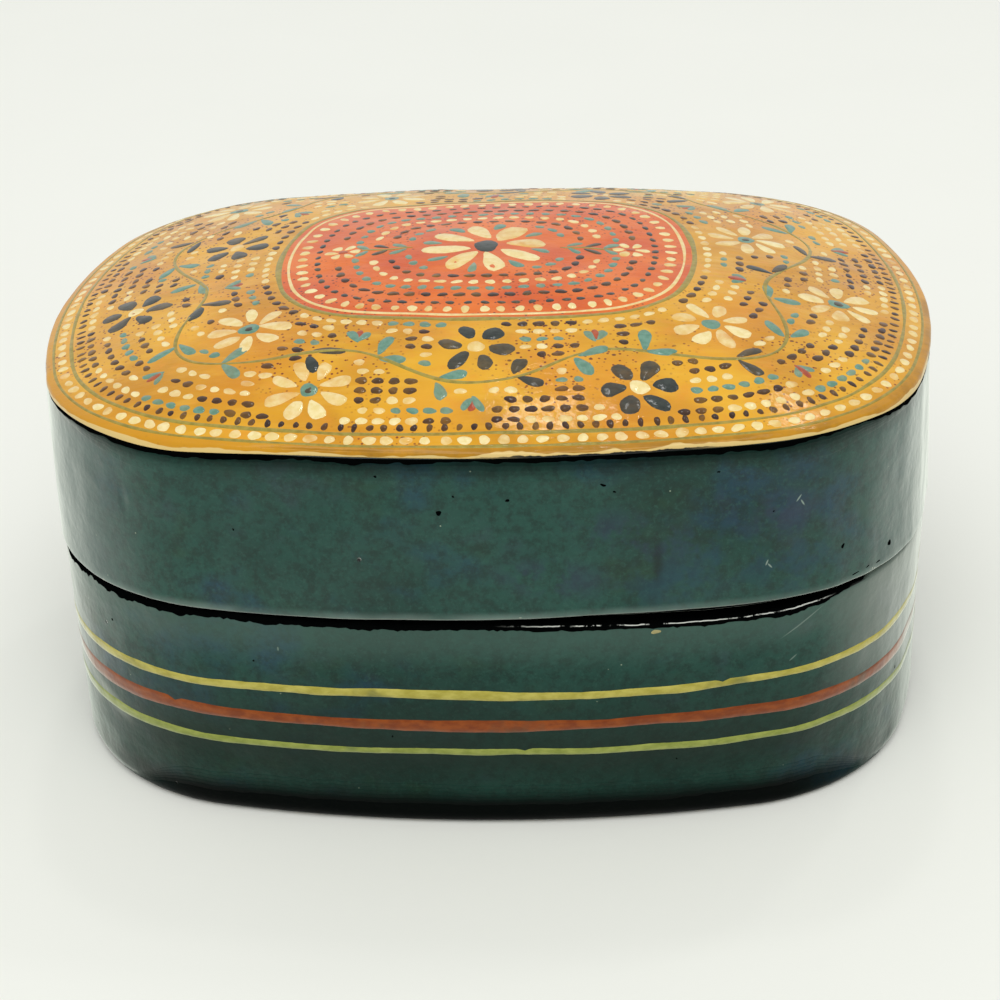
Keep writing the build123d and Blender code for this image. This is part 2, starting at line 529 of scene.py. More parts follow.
SHADE_THICK = 0.012
SHADE_LIFT = 0.005
ragged = unevenness(rim_points, 541, (0.22, 21), (0.08, 3), (0.06, 1.4))
front_share = smooth(ramp(abs(outline_x), 58, 44))
hang_front = hang + 0.25 * bulge(rim_points, 20, 16) - 0.3 * bulge(rim_points, -11, 3)
# A ragged black line under the cap's edge: partly black paint, partly painted shadow of the cap's overhang
low = LID_TOP - np.clip(0.55 + 0.2 * front_share + ragged, 0.15, 1.3) - hang_front
cap_line = film("cap_line_black", LID, low, LID_TOP, "black_lacquer", thick=0.05)
# Painted shade under the cap: films of the lid's green with less and less sheen towards it
head_films = []
for step, drop in enumerate([3.5, 2.6, 1.9, 1.2]):
    low = LID_TOP - 0.5 - hang_front - (drop - 0.5) * (0.12 + 0.88 * front_share) - 0.5 * ragged
    shade = (SHADE_THICK, SHADE_LIFT * step)
    head_films.append(film(f"head_shade_{step + 1}", LID, low, LID_TOP, "black_lacquer", 10, *shade))
# Painted shade up the foot: films of the base's green with less and less sheen towards it
ragged = unevenness(rim_points, 551, (0.12, 12), (0.06, 2.2))
foot_end = 54 + 4 * (outline_x > 0)
foot_share = smooth(ramp(abs(outline_x), foot_end, foot_end - 14))
foot_edges = [0.5 + (top - 0.5) * foot_share + ragged for top in (6.7, 6.1, 5.5, 4.9, 4.3, 3.7)]
foot_edges.append(0 * foot_share)
foot_films = []
for step, (high, next_high) in enumerate(zip(foot_edges[:-1], foot_edges[1:])):
    low = np.maximum(next_high - 0.4, 0.2)
    shade = (SHADE_THICK, SHADE_LIFT * step)
    foot_films.append(film(f"foot_shade_{step + 1}", BASE, low, high, "black_lacquer", 12, *shade))


# Pits where the black shows, and a fleck of paint
front_half = fine_angle >= pi
BLOT_SIDES = 14
BLOT_STAND = np.repeat([-0.05, 0.015, 0.022], [BLOT_SIDES, BLOT_SIDES, 1])
blot_turn = np.arange(BLOT_SIDES) / BLOT_SIDES * 2 * pi


def blots(name, wall, places, seed):
    """Small ragged ovals lying on the front of a wall, from place, half sizes and tilt."""
    skin, inset_at, body = wall
    draw = np.random.default_rng(seed)
    points = []
    for x, z, wide, tall, tilt in places:
        angle = np.interp(x, fine_x[front_half], fine_angle[front_half])
        reach = 1 + 0.18 * np.sin(2 * blot_turn + draw.uniform(0, 6))
        reach += 0.12 * np.sin(3 * blot_turn + draw.uniform(0, 6))
        u = np.cos(blot_turn) * reach * wide
        v = np.sin(blot_turn) * reach * tall
        lean = radians(tilt)
        u, v = u * cos(lean) - v * sin(lean), u * sin(lean) + v * cos(lean)
        run = np.interp(angle, fine_angle, fine_run) + np.concatenate([u, 0.75 * u, [0]])
        height = z + np.concatenate([v, 0.75 * v, [0]])[None, :]
        angle = np.interp(run, fine_run, fine_angle)
        points.append(skin(inset_at(height), height, BLOT_STAND, angle)[0])
    piece = make_mesh(name, np.concatenate(points), touch_faces(BLOT_SIDES, 0, len(places)))
    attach(piece, body)
    return piece


LID_PITS = [
    (-4.2, 48.6, 0.5, 0.38, 0), (-2.3, 50.9, 0.2, 0.16, 0), (4.5, 50.3, 0.4, 0.2, 0),
    (7.2, 55.0, 0.3, 0.25, 0), (16.5, 51.9, 0.42, 0.24, -20), (17.9, 50.9, 0.25, 0.16, 0),
    (47.1, 39.4, 0.32, 0.4, -20), (53.9, 36.2, 0.42, 0.6, -14), (-12, 53.5, 0.28, 0.2, 0),
    (31, 52.6, 0.28, 0.16, 10), (-31, 45, 0.16, 0.2, 0), (38, 46.5, 0.14, 0.14, 0),
    (48.9, 34.3, 0.7, 0.14, 8), (50.6, 34.6, 0.4, 0.12, 14), (52.2, 34.4, 0.5, 0.16, 10),
]
BASE_PITS = [
    (-50.5, 27.0, 0.2, 0.3, 10), (57, 13.5, 0.2, 0.3, 0), (-30, 25.5, 0.18, 0.2, 0),
    (-12, 14.4, 0.16, 0.18, 0), (26, 9.8, 0.16, 0.14, 0),
]
lid_pits = blots("lid_pits", LID, LID_PITS, 601)
base_pits = blots("base_pits", BASE, BASE_PITS, 602)
base_fleck = blots("base_fleck", BASE, [(23.1, 31.7, 0.7, 0.5, 5)], 603)


# Brush marks on the dome
DAB_SIDES = 16
DAB_RISE = np.repeat([-0.05, 0.03, 0.04], [DAB_SIDES, DAB_SIDES, 1])
dab_turn = np.arange(DAB_SIDES) / DAB_SIDES * 2 * pi
LINE_ACROSS = np.array([-1.0, -0.7, 0.7, 1.0])[:, None]
LINE_RISE = np.array([-0.05, 0.032, 0.032, -0.05])


class Marks:
    """Brush marks of one colour, gathered into one piece that lies on the dome."""

    def __init__(self, name, seed):
        self.name = name
        self.draw = np.random.default_rng(seed)
        self.dabs = []
        self.points = []
        self.faces = []
        self.body = []
        self.count = 0

    def dab(self, x, y, turn, length, width, taper=0.0):
        """An oval touch of the brush, which may narrow towards either end."""
        self.dabs.append((x, y, turn, length, width, taper))

    def add(self, x, y, rise, body, faces):
        """Points over the plan, each with its rise from the dome, and the faces between them."""
        points = ground(x.ravel(), y.ravel())
        points[:, 2] = dome_at(points) + rise
        self.points.append(points)
        self.faces += faces
        self.body.append(body)
        self.count += len(points)

    def add_dabs(self):
        """Every dab noted so far, each a little different from the next."""
        x, y, turn, length, width, taper = np.array(self.dabs).T[..., None]
        draw = self.draw
        shape = x.shape
        turn = turn + draw.normal(0, 0.12, shape)
        length = length * draw.uniform(0.85, 1.15, shape) / 2
        width = width * draw.uniform(0.85, 1.15, shape) / 2
        wobble = 1.0
        for lobes, depth in ((2, 0.08), (3, 0.06), (5, 0.03)):
            wobble = wobble + depth * np.sin(lobes * dab_turn + draw.uniform(0, 6, shape))
        along = np.cos(dab_turn) * length * wobble
        over = np.sin(dab_turn) * width * wobble * (1 - taper * np.cos(dab_turn))
        rim_x = np.cos(turn) * along - np.sin(turn) * over
        rim_y = np.sin(turn) * along + np.cos(turn) * over
        x = x + np.concatenate([rim_x, 0.82 * rim_x, 0 * x], axis=1)
        y = y + np.concatenate([rim_y, 0.82 * rim_y, 0 * y], axis=1)
        rise = np.where(DAB_RISE > 0, DAB_RISE * draw.uniform(0.7, 1.4, shape), DAB_RISE).ravel()
        body = np.repeat(draw.uniform(0, 1, len(x)), len(DAB_RISE))
        self.add(x, y, rise, body, touch_faces(DAB_SIDES, self.count, len(x)))

    def line(self, x, y, width, closed=False):
        """A drawn line through the points, thinner at its ends unless it is closed."""
        path = np.stack([x, y], axis=-1)
        way = np.roll(path, -1, 0) - np.roll(path, 1, 0) if closed else np.gradient(path, axis=0)
        way /= np.linalg.norm(way, axis=1)[:, None]
        count = len(path)
        run = np.clip(np.arange(count) / (count - 1), 0.03, 0.97)
        spread = np.ones(count) if closed else np.clip(np.sin(pi * run) * 3, 0.25, 1)
        spread = spread * width / 2 * (1 + 0.14 * waviness(ground(x, y), 9, self.count))
        number = self.count + np.arange(4 * count).reshape(4, count)
        faces = [quad[::-1] for quad in band_faces(number, closed)]
        if not closed:
            faces += [number[::-1, 0].tolist(), number[:, -1].tolist()]
        x = x - LINE_ACROSS * way[:, 1] * spread
        y = y + LINE_ACROSS * way[:, 0] * spread
        self.add(x, y, np.repeat(LINE_RISE, count), np.full(4 * count, 0.5), faces)

    def finish(self):
        """The gathered marks as one piece."""
        if self.dabs:
            self.add_dabs()
        piece = make_mesh(self.name, np.concatenate(self.points), self.faces, body=np.concatenate(self.body))
        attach(piece, "lid")
        return piece


MARK_COLOURS = {
    "cream": ((229, 207, 137), (240, 224, 168), 0.6),
    "teal": ((84, 128, 108), (106, 148, 130), 0.12),
    "charcoal": ((30, 38, 34), (48, 56, 50), 0.1),
    "brown": ((40, 18, 4), (62, 32, 8), 0.2),
    "olive": ((122, 116, 40), (150, 142, 62), 0.3),
    "brick": ((150, 58, 32), (176, 80, 46), 0.1),
}
MARK_SEED = 1001
all_marks = [Marks("marks_" + colour, MARK_SEED + step) for step, colour in enumerate(MARK_COLOURS)]
cream, teal, charcoal, brown, olive, brick = all_marks
taken = []


def place(turn, share):
    """The point of the dome at a share of the way round and out, and the way round there."""
    x, y = outline(angle_at(turn), DOME_INSET)
    return x * share, y * share, angle_at(turn) + pi / 2


def keep_clear(x, y, radius):
    """Notes that a motif fills this much room, so that the filling leaves it alone."""
    taken.append((x, y, radius))


def is_clear(x, y, margin):
    """Whether a point lies outside every motif noted so far."""
    spots = np.array(taken)
    return bool(np.all(np.hypot(x - spots[:, 0], y - spots[:, 1]) > spots[:, 2] + margin))


def row_of(marks, share, pitch, length, width, turned=0.0):
    """A row of dabs right round the dome, evenly spaced with a little jitter."""
    count = int(PERIMETER * share / pitch)
    for i in range(count):
        x, y, way = place((i + marks.draw.uniform(-0.08, 0.08)) / count, share)
        marks.dab(x, y, way + turned, length, width)


def flower(x, y, size, petals, petal, heart, turn=0.0):
    """A simple flower of tapering petals round a heart."""
    for i in range(petals):
        way = turn + 2 * pi * i / petals
        reach = size * 0.32
        petal.dab(x + reach * cos(way), y + reach * sin(way), way, size * 0.38, size * 1.5 / petals, -0.3)
    heart.dab(x, y, 0, size * 0.26, size * 0.24)
    keep_clear(x, y, size / 2)


def leaf_pair(x, y, way, size, marks):
    """Two leaves springing either side of a stem."""
    for lean in (way - 0.75, way + 0.75):
        leaf_x = x + cos(lean) * size * 0.55
        leaf_y = y + sin(lean) * size * 0.55
        marks.dab(leaf_x, leaf_y, lean, size, size * 0.4, -0.35)
        keep_clear(leaf_x, leaf_y, size * 0.42)


def fill_rows(shares, pitch, choose):
    """Rows of small strokes that follow the outline and leave the motifs alone."""
    for row, share in enumerate(shares):
        count = int(PERIMETER * share / pitch)
        for i in range(count):
            x, y, way = place((i + 0.5 * (row % 2)) / count, share)
            if is_clear(x, y, 0.75):
                choose(row, i).dab(x, y, way, 1.7, 1.25)


# Border
ring_x, ring_y = outline(angle_at(np.arange(900) / 900), DOME_INSET)
for share, width in ((0.985, 0.45), (0.945, 0.6)):
    olive.line(ring_x * share, ring_y * share, width, closed=True)
row_of(cream, 0.966, 2.45, 1.8, 1.4)
row_of(brown, 0.924, 1.9, 1.35, 0.95, pi / 2)

# Medallion
MEDALLION = 0.47
for share, marks, width in ((0.475, olive, 0.9), (0.452, cream, 0.6)):
    marks.line(ring_x * share, ring_y * share, width, closed=True)
row_of(cream, 0.422, 2.4, 1.75, 1.35, pi / 2)
row_of(charcoal, 0.386, 2.2, 1.4, 1.0)
flower(0, 0, 18, 8, cream, charcoal, 0.2)
for i in range(8):
    way = 0.2 + 2 * pi * (i + 0.5) / 8
    teal.dab(7.9 * cos(way), 7.9 * sin(way), way, 3.2, 1.5, -0.3)
keep_clear(0, 0, 9.6)
for side in (-1, 1):
    stem = np.linspace(10.5, 18, 12) * side
    olive.line(stem, 0.2 * np.sin(stem), 0.5)
    for step, marks in enumerate((teal, charcoal, teal)):
        leaf_pair(side * (11.3 + 2.6 * step), 0, 0 if side > 0 else pi, 2.9, marks)
    flower(side * 20.5, 0, 5.4, 6, cream, brick)

# Field of flowers on a scrolling stem
FLOWERS = 14
VINE = 0.7
SCROLL = 0.062
BUD_REACH = 1.2
vine_turn = np.arange(1400) / 1400
vine_share = VINE + SCROLL * np.sin(pi * FLOWERS * vine_turn)
vine_x, vine_y = outline(angle_at(vine_turn), DOME_INSET) * vine_share
olive.line(vine_x, vine_y, 0.62, closed=True)
for i in range(0, len(vine_turn), 10):
    keep_clear(vine_x[i], vine_y[i], 0.35)
for i in range(FLOWERS):
    outer = i % 2 == 1
    turn = (i + 0.5) / FLOWERS
    x, y, way = place(turn, VINE + (0.1 if outer else -0.09))
    if i % 4 < 2:
        flower(x, y, 11.5, 8, cream, teal, 0.3 * i)
        charcoal.dab(x, y, 0, 1.5, 1.4)
    else:
        flower(x, y, 10.5, 6, charcoal, cream, 0.3 * i)
        brick.dab(x, y, 0, 1.4, 1.3)
    x, y, way = place(turn, VINE + (-0.105 if outer else 0.12))
    bud_way = angle_at(turn) + (pi if outer else 0)
    for lean, marks in ((-0.6, teal), (0.0, brick), (0.6, teal)):
        tilt = bud_way + lean
        marks.dab(x + BUD_REACH * cos(tilt), y + BUD_REACH * sin(tilt), tilt, 3.0, 1.25, -0.3)
    keep_clear(x + BUD_REACH * cos(bud_way), y + BUD_REACH * sin(bud_way), 2.2)
for i in range(FLOWERS * 2):
    turn = (i + 0.5) / FLOWERS / 2
    x, y, way = place(turn, VINE + SCROLL * np.sin(pi * FLOWERS * turn))
    leaf_pair(x, y, way + (0.5 if i % 2 else -0.5), 4.4, teal if i % 3 else charcoal)

# Filling of small strokes in rows
field_colours = (cream, brown, cream, teal, brown, cream, brown)
fill_rows(np.arange(0.505, 0.905, 0.036), 2.15, lambda row, i: field_colours[(i // 6 + 2 * row) % 7])
fill_rows(np.arange(0.1, 0.37, 0.04), 2.3, lambda row, i: (brown, cream, teal)[row % 3])

mark_pieces = [marks.finish() for marks in all_marks]


# Materials
ROUGHNESS = 0.3
MARK_ROUGHNESS = 0.35
DULL = 0.5
LINE_GLOSS = 0.15
BLACK_INSIDE = (8, 9, 9)


def srgb(red, green, blue):
    """A colour of 0 to 255 as the linear colour that a node takes."""
    channels = np.array([red, green, blue]) / 255
    linear = np.where(channels < 0.04045, channels / 12.92, ((channels + 0.055) / 1.055) ** 2.4)
    return (*linear.tolist(), 1.0)


class Nodes:
    """A tree of nodes, to which each call adds some and gives back their output."""

    def __init__(self, tree):
        self.tree = tree

    def feed(self, socket, value):
        """Links an output to a socket, or sets the socket to a value."""
        if isinstance(value, bpy.types.NodeSocket):
            self.tree.links.new(value, socket)
        elif value is not None:
            socket.default_value = value

    def node(self, kind, *inputs, **settings):
        """A new node with its settings, and with its inputs in their order."""
        node = self.tree.nodes.new("ShaderNode" + kind)
        for setting, value in settings.items():
            setattr(node, setting, value)
        for socket, value in zip(node.inputs, inputs):
            self.feed(socket, value)
        return node

    def math(self, kind, *values, clamp=False):
        """A sum of up to three values."""
        return self.node("Math", *values, operation=kind, use_clamp=clamp).outputs[0]


class Paint(Nodes):
    """A material under construction and the colour that it has so far, with lengths in millimetres."""

    def __init__(self, name, **settings):
        self.material = bpy.data.materials.new(name)
        self.material.use_nodes = True
        super().__init__(self.material.node_tree)
        self.shader = self.tree.nodes["Principled BSDF"]
        self.place = self.node("TexCoord").outputs["Object"]
        self.front = self.along(1, -2, 0, 1, 0)
        for socket, value in settings.items():
            self.shader.inputs[socket.replace("_", " ")].default_value = value

    def times(self, first, *others):
        """The product of masks."""
        for other in others:
            first = self.math("MULTIPLY", first, other)
        return first

    def band(self, value, low, high, start=0.0, stop=1.0):
        """A smooth change from start to stop as a value goes from low to high."""
        kind = "SMOOTHSTEP"
        return self.node("MapRange", value, low, high, start, stop, interpolation_type=kind).outputs[0]

    def axis(self, index):
        """The place along one axis, in metres."""
        return self.node("SeparateXYZ", self.place).outputs[index]

    def along(self, index, low, high, start=0.0, stop=1.0):
        """A smooth change along an axis."""
        return self.band(self.axis(index), low * MM, high * MM, start, stop)

    def outward(self, low, high, start=0.0, stop=1.0):
        """A smooth change from the middle towards both ends of the box."""
        return self.band(self.math("ABSOLUTE", self.axis(0)), low * MM, high * MM, start, stop)

    def field(self, name):
        """An attribute of the mesh."""
        return self.node("Attribute", attribute_name=name).outputs["Fac"]

    def stretched(self, stretch):
        """The place on the object, after a stretch of each axis and a shift, if they are given."""
        if not stretch:
            return self.place
        x, y, z, shift = (*stretch, 0.0)[:4]
        return self.node("Mapping", self.place, (shift, shift * 0.7, shift * 1.3), None, (x, y, z)).outputs[0]

    def noise(self, size, detail=2.0, rough=0.5, stretch=None):
        """Cloudy noise from 0 to 1 whose features have a size."""
        return self.node("TexNoise", self.stretched(stretch), None, 1 / (size * MM), detail, rough).outputs[0]

    def cloud(self, size, detail, rough, low, high, start=0.0, stop=1.0, stretch=None):
        """A smooth change from start to stop as noise goes from low to high."""
        return self.band(self.noise(size, detail, rough, stretch), low, high, start, stop)

    def dots(self, size, near, far, weight=1.0, stretch=None):
        """A mask of scattered dots, which have a spacing and fade out between two radii."""
        cells = self.node("TexVoronoi", self.stretched(stretch), None, 1 / (size * MM)).outputs["Distance"]
        return self.band(self.math("MULTIPLY", cells, size * MM), near * MM, far * MM, weight, 0)

    def spot(self, x, z, wide, tall, tilt=0.0, soft=0.35):
        """A mask of one oval place on the front, by its middle, half sizes and tilt."""
        middle = (x * MM, 0, z * MM)
        sizes = (wide * MM, 1000, tall * MM)
        turn = (0, radians(tilt), 0)
        oval = self.node("Mapping", self.place, middle, turn, sizes, vector_type="TEXTURE").outputs[0]
        reach = self.node("VectorMath", oval, operation="LENGTH").outputs["Value"]
        return self.times(self.band(reach, 1 - soft, 1 + soft, 1, 0), self.front)

    def spots(self, places):
        """One mask of several oval places."""
        mask = 0.0
        for entry in places:
            mask = self.math("MAXIMUM", mask, self.spot(*entry))
        return mask

    def mix(self, share, low, high):
        """A colour between two, which are outputs or colours of 0 to 255."""
        low, high = (srgb(*colour) if isinstance(colour, tuple) else colour for colour in (low, high))
        return self.node("Mix", share, *[None] * 5, low, high, data_type="RGBA").outputs[2]

    def over(self, colour, *masks):
        """Lays a colour over the one so far, as far as the masks let it."""
        self.colour = self.mix(self.times(*masks), self.colour, colour)

    def cloud_over(self, layers):
        """Lays colours over in clouds, each layer a colour with what its cloud takes."""
        for colour, *looks in layers:
            self.over(colour, self.cloud(*looks))

    def bump(self, height, depth, below=None):
        """A normal from a height of 0 to 1 that stands for a depth."""
        node = self.node("Bump", 1.0, depth * MM)
        self.feed(node.inputs["Height"], height)
        self.feed(node.inputs["Normal"], below)
        return node.outputs[0]

    def done(self, roughness, normal, gloss=None):
        """Joins the colour, roughness, normal and weight of the varnish to the shader."""
        sockets = ("Base Color", "Roughness", "Normal", "Coat Normal", "Coat Weight")
        for socket, value in zip(sockets, (self.colour, roughness, normal, normal, gloss)):
            self.feed(self.shader.inputs[socket], value)
        return self.material


LACQUER = dict(Specular_IOR_Level=0.04, Coat_Roughness=0.08, Sheen_Roughness=0.4)
SHEEN_TINT = srgb(249, 255, 244)


def lacquer(name, sheen=1.0):
    """A new paint with the walls' faint sheen and soft gloss."""
    return Paint(name, Sheen_Weight=sheen, Sheen_Tint=SHEEN_TINT, **LACQUER)


# Blue, violet, drab, dark and bright clouds in the green
GREEN_CLOUDS = [
    ((16, 54, 82), 20, 3, 0.6, 0.52, 0.68, 0, 0.6, (1, 1, 1.3, 0.31)),
    ((44, 54, 66), 11, 3, 0.6, 0.58, 0.72, 0, 0.35, (1, 1, 1.2, 0.47)),
    ((30, 56, 26), 13, 3, 0.6, 0.55, 0.72, 0, 0.45, (1, 1, 1.4, 0.83)),
    ((4, 32, 26), 1.7, 4, 0.72, 0.4, 0.66, 0, 0.62),
    ((40, 84, 72), 0.6, 3, 0.7, 0.5, 0.7, 0, 0.35, (1, 1, 1, 0.13)),
]


def green_ground(paint):
    """Lays the cloudy dark green of the walls, with dust in it, and gives the mask of its pits."""
    paint.colour = paint.mix(paint.cloud(30, 3, 0.55, 0.36, 0.64), (10, 52, 44), (22, 68, 58))
    paint.cloud_over(GREEN_CLOUDS)
    paint.over((150, 164, 140), paint.dots(4.2, 0.07, 0.13, 0.75, (1, 1, 1, 0.57)))
    return paint.dots(9, 0.18, 0.34)


def lacquered(paint, pits, gloss):
    """Finishes a wall's paint with lacquer over paper: grain, pits, and waves that grow towards the ends."""
    fine = paint.bump(paint.noise(1.1, 3, 0.6), 0.04)
    swell = paint.times(paint.noise(6, 3, 0.55), paint.outward(46, 57, 1, 1.7))
    waves = paint.bump(swell, 0.14, fine)
    return paint.done(ROUGHNESS, paint.bump(pits, -0.18, waves), gloss)


BASE_SCRATCHES = [(42.4, 29.2, 0.1, 2.9, 57), (41.3, 24, 0.1, 0.6, 50), (-26.5, 27.6, 0.12, 0.3)]
BASE_DENTS = [(-54.4, 4.8, 1.2, 1.6, 0, 0.9), (43, 27.5, 1.9, 1.1, 0, 0.9), (-51, 24, 1.3, 2.0, 20, 0.9)]
# Small pale curls on the lid
LID_PALE_CURLS = [(41.2, 47.8, 0.1, 0.5, 35), (41.7, 47.1, 0.1, 0.45, -30)]
LID_PALE_CURLS += [(37.3, 39.3, 0.1, 0.4, 20), (37.7, 38.8, 0.1, 0.4, -40)]
LID_DENTS = [(-54, 45.5, 1.2, 2.0, 10, 0.9), (-50, 50, 1.1, 1.5, -15, 0.9), (-46, 46.9, 0.5, 1.3, 0, 0.9)]
LID_BLUES = [(33, 41, 8, 3.5, 10, 0.95), (26, 38, 6, 3, -10, 0.95), (41, 39, 5, 4, 0, 0.95)]
LID_VIOLETS = [(20, 44.5, 6, 2.5, 15, 0.95), (39, 46, 5, 2.5, 0, 0.95), (10, 39, 6, 2, 8, 0.95)]
DENT_DEPTH = 0.45


def base_green(paint):
    """Lays the base's green, with painted shade darker towards the foot except at the ends and a painted
    highlight lighter towards the rim, and gives its pits' mask.
    """
    pits = green_ground(paint)
    paint.over((3, 8, 7), pits)
    side = paint.outward(40, 58, 1, 0.3)
    # Painted highlight: the base's green lighter towards the rim
    paint.over((58, 86, 76), paint.along(2, 24, 31, 0, 0.55))
    # Painted shade: darker towards the foot, and nearly black at it, less so at the ends
    paint.over((0, 24, 14), paint.along(2, 8, 29, 0.9, 0), side, paint.along(2, 6, 12, 0.55, 1))
    paint.over((0, 3, 2), paint.along(2, 3.2, 6.4, 1, 0), side)
    return pits


def base_paint():
    """Green outside, with black run over the rim, a painted highlight at the left end, painted sheen towards
    the right end, and black inside.
    """
    paint = lacquer("green_base", 0.8)
    pits = base_green(paint)
    drop = paint.field("drop")
    paint.over((92, 112, 102), paint.spots(BASE_SCRATCHES))
    # Painted highlight: a pale grey smear low on the left end
    paint.over((158, 164, 150), paint.spot(-53.0, 12.9, 1.1, 2.9, -57, 0.7), 0.5)
    # Painted sheen: lighter grey-green towards the right end
    paint.over((104, 114, 106), paint.along(0, 44, 54, 0, 0.75), paint.along(2, 13, 22))
    paint.over((2, 3, 3), paint.band(drop, 0.25, 0.4, 1, 0), paint.along(0, 50, 52, 1, 0))
    paint.over(BLACK_INSIDE, paint.field("inside"))
    bare = paint.mix(paint.cloud(1.6, 3, 0.6, 0.45, 0.6), (12, 13, 13), (120, 104, 82))
    paint.over(bare, paint.along(2, 0.1, 0.3, 1, 0))
    at_ends = paint.times(paint.along(2, 7, 20, 0, 0.42), paint.outward(42, 57))
    gloss = paint.math("ADD", paint.along(2, 7, 12, 0, 0.17), paint.along(2, 24, 29, 0, 0.25))
    gloss = paint.times(paint.math("MAXIMUM", gloss, at_ends), paint.band(drop, 0.2, 0.4, 0.1, 1))
    dents = paint.math("MAXIMUM", pits, paint.times(paint.spots(BASE_DENTS), DENT_DEPTH))
    return lacquered(paint, dents, gloss)


def foot_paint(name, sheen, lift):
    """The base's green near the foot with less sheen, as painted shade, lightened at its upper edge by
    painted sheen to meet the next film.
    """
    paint = lacquer(name, sheen)
    pits = base_green(paint)
    # Painted sheen: lighter towards the upper edge, for the sheen this film lacks
    paint.over((54, 60, 56), paint.band(paint.field("across"), 0.3, 1.0, 0, lift))
    return lacquered(paint, pits, 0.0)


def cap_shade(paint):
    """Paints shade on the lid's colour, darker towards the cap, as the shade of its overhang."""
    paint.over((2, 12, 10), paint.along(2, LID_TOP - 3.5, LID_TOP - 0.6, 0, 0.72))


def head_paint(name, sheen, gloss):
    """The lid's green just under the cap, with less sheen and gloss, as painted shade of the cap."""
    paint = lacquer(name, sheen)
    pits = green_ground(paint)
    cap_shade(paint)
    return lacquered(paint, pits, gloss)


def lid_paint():
    """Green outside, with painted shade under the cap and painted sheen towards both ends, a grey band along
    the lower edge that is part wear and part painted highlight, and black inside.
    """
    paint = lacquer("green_lid")
    pits = green_ground(paint)
    drop = paint.field("drop")
    broken = paint.cloud(4, 3, 0.65, 0.4, 0.6, 0, 0.55)
    paint.over((16, 58, 76), paint.spots(LID_BLUES), broken)
    paint.over((36, 48, 72), paint.spots(LID_VIOLETS), broken)
    paint.over((0, 16, 18), paint.spot(23.3, 41.0, 0.55, 2.6, 0, 0.9), 0.6)
    # Painted sheen: lighter grey-green towards both ends
    painted_end_sheen = paint.math("ADD", paint.along(0, -56, -42, 0.85, 0), paint.along(0, 47, 60, 0, 0.7))
    paint.over((78, 96, 92), painted_end_sheen)
    paint.over((120, 138, 128), paint.spots(LID_PALE_CURLS))
    paint.over((2, 7, 6), pits)
    cap_shade(paint)
    # A grey band along the lower edge: part wear, part painted highlight
    edge_wear_and_highlight = paint.cloud(14, 3, 0.6, 0.3, 0.7, 0.25, 0.9, (1, 1, 1, 0.7))
    paint.over((106, 126, 118), paint.band(drop, 0.2, 1.5, 1, 0), edge_wear_and_highlight)
    chip_reach = paint.cloud(2.6, 3, 0.6, 0.6, 0.75, 0.1, 0.8)
    paint.over((164, 168, 152), paint.band(paint.math("SUBTRACT", chip_reach, drop), -0.03, 0.03))
    paint.over(BLACK_INSIDE, paint.field("inside"))
    gloss = paint.cloud(12, 2, 0.5, 0.3, 0.7, 0.34, 0.46)
    dents = paint.math("MAXIMUM", pits, paint.times(paint.spots(LID_DENTS), DENT_DEPTH))
    return lacquered(paint, dents, gloss)


def black_paint():
    """Black lacquer brushed on by hand, with streaks along the wall and dust."""
    paint = Paint("black_inside", Specular_IOR_Level=0.45)
    streaks = paint.noise(3, 3, 0.6, (0.15, 0.15, 1.6))
    paint.colour = paint.mix(paint.band(streaks, 0.35, 0.7), BLACK_INSIDE, (19, 20, 20))
    paint.over((48, 34, 24), paint.cloud(9, 4, 0.7, 0.62, 0.74, 0, 0.35, (1, 1, 1, 0.4)))
    paint.over((130, 126, 116), paint.dots(4.4, 0.1, 0.18, 0.6))
    waves = paint.bump(paint.noise(8, 2, 0.5), 0.06, paint.bump(streaks, 0.04))
    return paint.done(paint.band(streaks, 0.3, 0.7, 0.2, 0.34), waves)


VARNISH = dict(Coat_Weight=0.4, Coat_Roughness=0.05, Coat_IOR=1.5, Specular_IOR_Level=0.12)


def varnished(paint, roughness):
    """Finishes the dome's paint under varnish, with soft pools and brush drag in it."""
    pools = paint.bump(paint.noise(4.5, 3, 0.5), 0.13)
    return paint.done(roughness, paint.bump(paint.noise(1.0, 3, 0.65, (0.5, 1.2, 1)), 0.06, pools))


# Pale streaks, and large and small warm clouds in the ochre
OCHRE_CLOUDS = [
    ((234, 184, 62), 1.8, 3, 0.6, 0.45, 0.75, 0, 0.35, (0.25, 1, 1)),
    ((216, 132, 16), 19, 2, 0.5, 0.45, 0.7, 0, 0.4, (1, 1, 1, 0.61)),
    ((220, 140, 34), 3.2, 3, 0.6, 0.5, 0.72, 0, 0.4, (1, 1, 1, 0.43)),
]


def ochre_ground(paint):
    """Lays the ochre ground, with its clouds and streaks."""
    paint.colour = paint.mix(paint.cloud(14, 3, 0.55, 0.3, 0.7), (195, 133, 4), (224, 167, 24))
    paint.cloud_over(OCHRE_CLOUDS)


